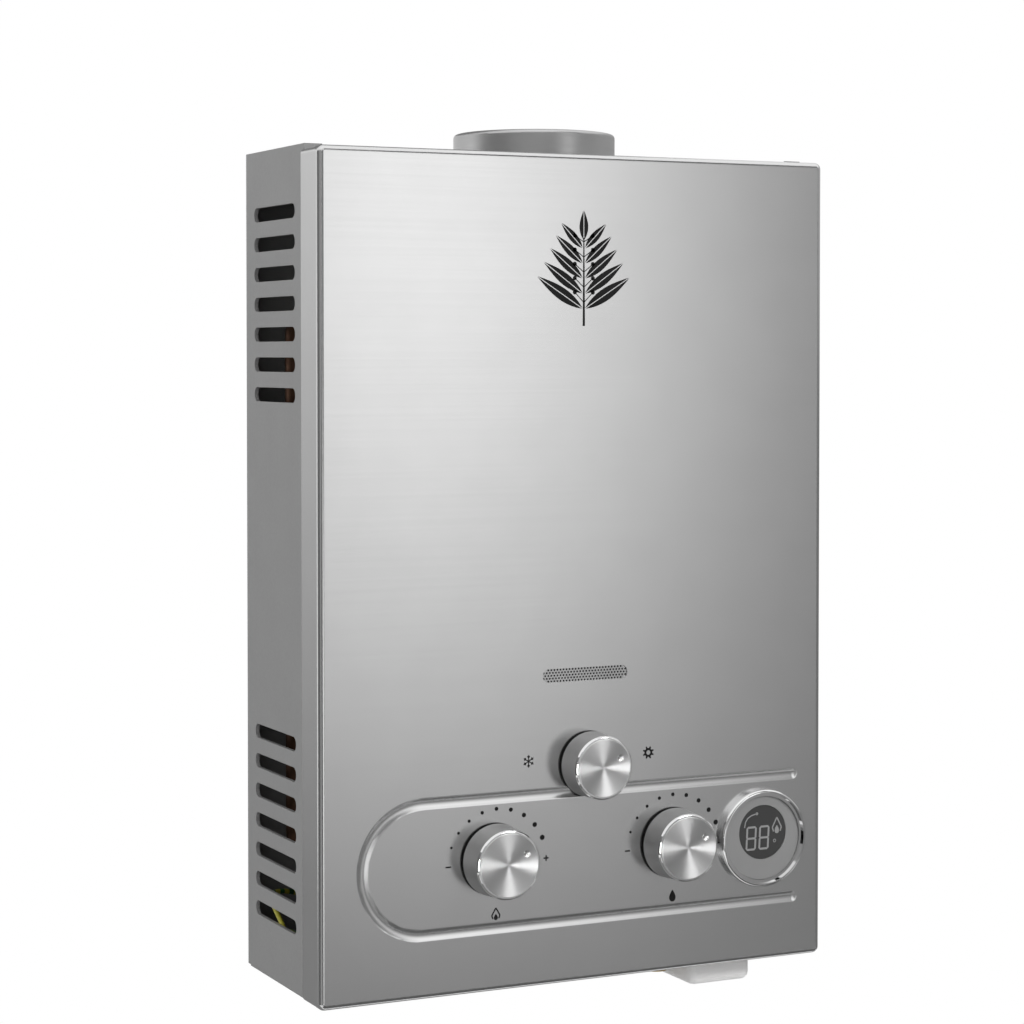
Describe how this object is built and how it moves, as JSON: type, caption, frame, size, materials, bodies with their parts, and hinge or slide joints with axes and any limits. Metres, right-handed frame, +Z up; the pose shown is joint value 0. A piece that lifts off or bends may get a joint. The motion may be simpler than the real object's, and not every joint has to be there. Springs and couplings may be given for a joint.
{
  "type": "tankless water heater",
  "caption": "Wall-hung gas tankless water heater in a brushed steel case with knurled control knobs, a round display, side vents, a flue collar and a drop-down battery lid.",
  "frame": {"origin": "middle of the back plate, on the wall plane", "axes": "+X right seen from the front, +Y into the wall (the front faces -Y), +Z up"},
  "size_m": [0.29, 0.1225, 0.4531],
  "materials": {
    "brushed_front": "brushed, satin",
    "casing_grey": "satin grey",
    "bright_steel": "bright zinc",
    "mica": "dark and clear",
    "collar_steel": "spun, satin",
    "galvanised": "galvanised",
    "knob_black": "black",
    "knob_sleeve_metal": "knurled with a bright edge",
    "knob_cap_metal": "spun in fine circles",
    "brass": "machined",
    "bezel_chrome": "bright chrome",
    "display_grey": "satin grey",
    "display_dark": "dark lens",
    "board_green": "circuit board",
    "battery_white": "white",
    "lid_pale": "pale, slightly clear",
    "cell_jacket": "black jacket",
    "black_rubber": "black",
    "copper": "copper",
    "cast_alloy": "die cast",
    "burner_steel": "stainless sheet",
    "coil_case": "dark grey",
    "black_plastic": "black",
    "porcelain": "glazed",
    "lead_white": "silicone",
    "lead_earth": "green and yellow"
  },
  "bodies": {
    "casing": {"front_cover": "brushed_front", "back_plate": "casing_grey", "left_side_panel": "casing_grey", "right_side_panel": "casing_grey", "top_panel": "casing_grey", "bottom_panel": "casing_grey", "cover_screws": "bright_steel", "sight_grille": "bright_steel", "battery_lid_pin": "bright_steel", "gas_spring": "bright_steel", "sight_window": "mica", "flue_collar": "collar_steel", "draught_hood": "galvanised", "combustion_chamber": "galvanised", "burner_frame": "galvanised", "valve_bracket": "galvanised", "water_valve_body": "brass", "diaphragm_cover": "brass", "cold_inlet": "brass", "gas_inlet": "brass", "union_nuts": "brass", "gas_jets": "brass", "display_bezel": "bezel_chrome", "display_face": "display_grey", "display_lens": "display_dark", "display_board": "board_green", "battery_box": "battery_white", "battery_cells": "cell_jacket", "diaphragm": "black_rubber", "riser_pipe": "copper", "exchanger_tube": "copper", "exchanger_fins": "copper", "outlet_pipe": "copper", "gas_valve_body": "cast_alloy", "gas_manifold": "cast_alloy", "burner_bars": "burner_steel", "solenoid_valve": "coil_case", "thermostat": "coil_case", "micro_switch": "black_plastic", "igniter_box": "black_plastic", "electrodes": "porcelain", "ignition_lead": "lead_white", "earth_lead": "lead_earth"},
    "gas_control": {"gas_knob_core": "knob_black", "gas_knob_sleeve": "knob_sleeve_metal", "gas_knob_cap": "knob_cap_metal", "gas_shaft": "brass"},
    "water_control": {"water_knob_core": "knob_black", "water_knob_sleeve": "knob_sleeve_metal", "water_knob_cap": "knob_cap_metal", "water_shaft": "brass"},
    "season_control": {"season_knob_core": "knob_black", "season_knob_sleeve": "knob_sleeve_metal", "season_knob_cap": "knob_cap_metal", "season_shaft": "brass"},
    "battery_door": {"battery_lid": "lid_pale"},
    "flow_rod": {"push_rod": "bright_steel", "gas_poppet": "black_rubber"},
    "switch_arm": {"switch_lever": "bright_steel"},
    "drain": {"drain_plug": "brass"}
  },
  "joints": [
    {"name": "gas_turn", "type": "hinge", "parent": "casing", "child": "gas_control", "pos_m": [-0.0496, -0.105, -0.1475], "axis": [0, -1, 0], "range_deg": [-4, 132]},
    {"name": "water_turn", "type": "hinge", "parent": "casing", "child": "water_control", "pos_m": [0.0538, -0.105, -0.1475], "axis": [0, -1, 0], "range_deg": [-4, 132]},
    {"name": "season_turn", "type": "hinge", "parent": "casing", "child": "season_control", "pos_m": [0.0043, -0.105, -0.1024], "axis": [0, -1, 0], "range_deg": [0, 125]},
    {"name": "battery_door_swing", "type": "hinge", "parent": "casing", "child": "battery_door", "pos_m": [0.0913, -0.0142, -0.2172], "axis": [1, 0, 0], "range_deg": [0, 90]},
    {"name": "drain_turn", "type": "hinge", "parent": "casing", "child": "drain", "pos_m": [0.0598, -0.076, -0.2], "axis": [0, 0, 1], "range_deg": [0, 360]},
    {"name": "flow_push", "type": "slide", "parent": "casing", "child": "flow_rod", "axis": [-1, 0, 0], "range_m": [0, 0.004], "stiffness_N_per_m": 800, "springref_m": -0.004, "deforming": ["gas_spring"]},
    {"name": "switch_swing", "type": "hinge", "parent": "casing", "child": "switch_arm", "pos_m": [-0.0047, -0.045, -0.1355], "axis": [0, 1, 0], "range_deg": [0, 28.5]}
  ],
  "couplings": [
    {"joint": "switch_swing", "follows": "flow_push", "rad_per_m": 122.2}
  ]
}
